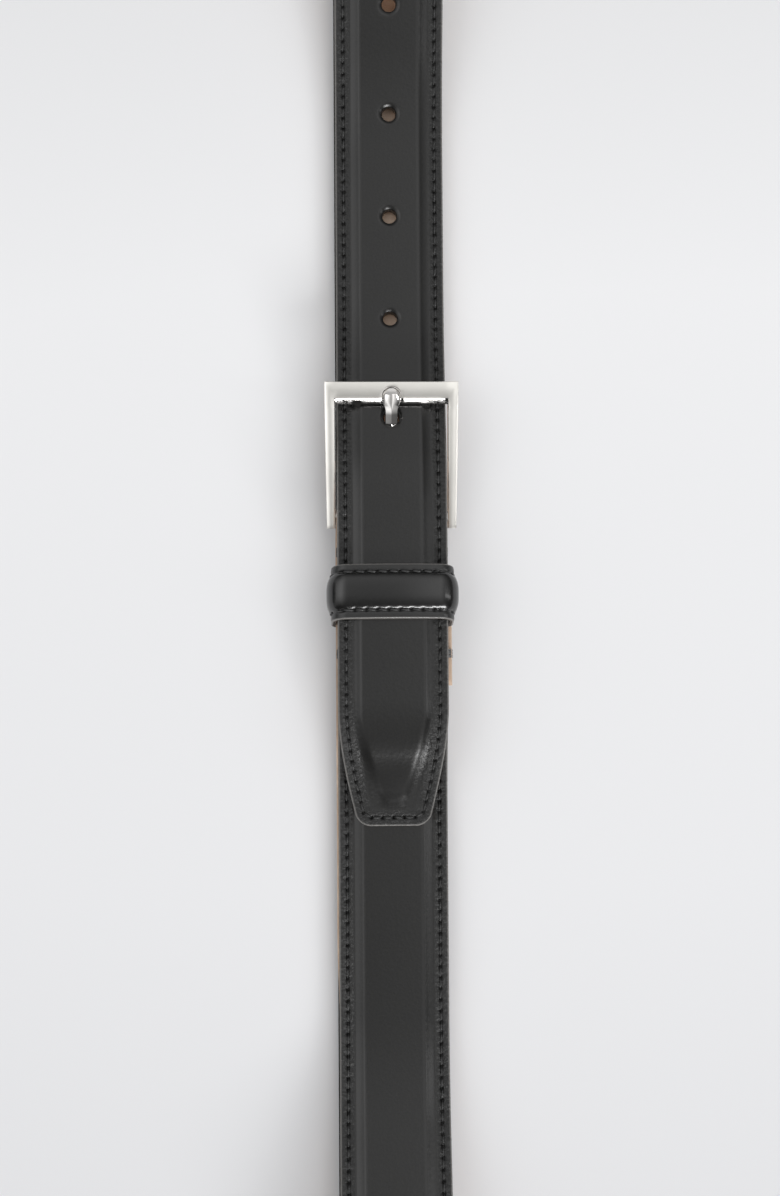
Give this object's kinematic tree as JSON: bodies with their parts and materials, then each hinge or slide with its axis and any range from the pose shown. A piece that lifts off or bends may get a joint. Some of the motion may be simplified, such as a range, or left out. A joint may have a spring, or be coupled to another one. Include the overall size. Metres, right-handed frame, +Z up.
{
  "type": "leather dress belt",
  "caption": "Black stitched leather dress belt, buckled and laid flat as a closed loop, with a satin rectangular pin buckle, a prong and a padded sliding keeper.",
  "frame": {"origin": "on the table under the middle of the flattened loop", "axes": "+Z up from the table, +Y along the loop from the buckle towards the fastening holes, +X across the strap to the right as seen from above"},
  "size_m": [0.0366, 0.48, 0.0308],
  "materials": {
    "black_leather": "semi-gloss smooth calf, fine grain on the margins",
    "core_board": "bonded leather board, fibrous",
    "tan_lining": "matt natural leather",
    "keeper_lining": "matt dark split leather",
    "thread": "waxed polyester thread",
    "satin_nickel": "satin nickel plate with a polished inner bevel",
    "polished_nickel": "polished nickel plate",
    "steel_pin": "drawn steel"
  },
  "bodies": {
    "strap": {"strap_outer": "black_leather", "strap_core": "core_board", "strap_lining": "tan_lining", "seam_thread_left": "thread", "seam_thread_right": "thread", "bar_tacks_front": "thread", "bar_tacks_rear": "thread"},
    "tail": {"tail_outer": "black_leather", "tail_core": "core_board", "tail_lining": "tan_lining", "tail_seam_thread": "thread"},
    "buckle": {"buckle_frame": "satin_nickel", "heel_bar": "steel_pin"},
    "prong": {"prong": "polished_nickel"},
    "keeper": {"keeper_outer": "black_leather", "keeper_padding": "core_board", "keeper_lining": "keeper_lining", "keeper_thread_front": "thread", "keeper_thread_rear": "thread", "keeper_staple": "steel_pin"}
  },
  "joints": [
    {"name": "buckle_tilt", "type": "hinge", "parent": "strap", "child": "buckle", "pos_m": [0, 0.018, 0.0084], "axis": [1, 0, 0], "range_deg": [0, 1.5]},
    {"name": "prong_lift", "type": "hinge", "parent": "buckle", "child": "prong", "pos_m": [0, 0.018, 0.0084], "axis": [1, 0, 0], "range_deg": [0, 2]},
    {"name": "keeper_slide", "type": "slide", "parent": "strap", "child": "keeper", "axis": [0, 1, 0], "range_m": [-0.006, 0.0022]},
    {"name": "tail_lift", "type": "hinge", "parent": "strap", "child": "tail", "pos_m": [0, -0.0185, 0.01585], "axis": [-1, 0, 0], "range_deg": [0, 35]}
  ]
}
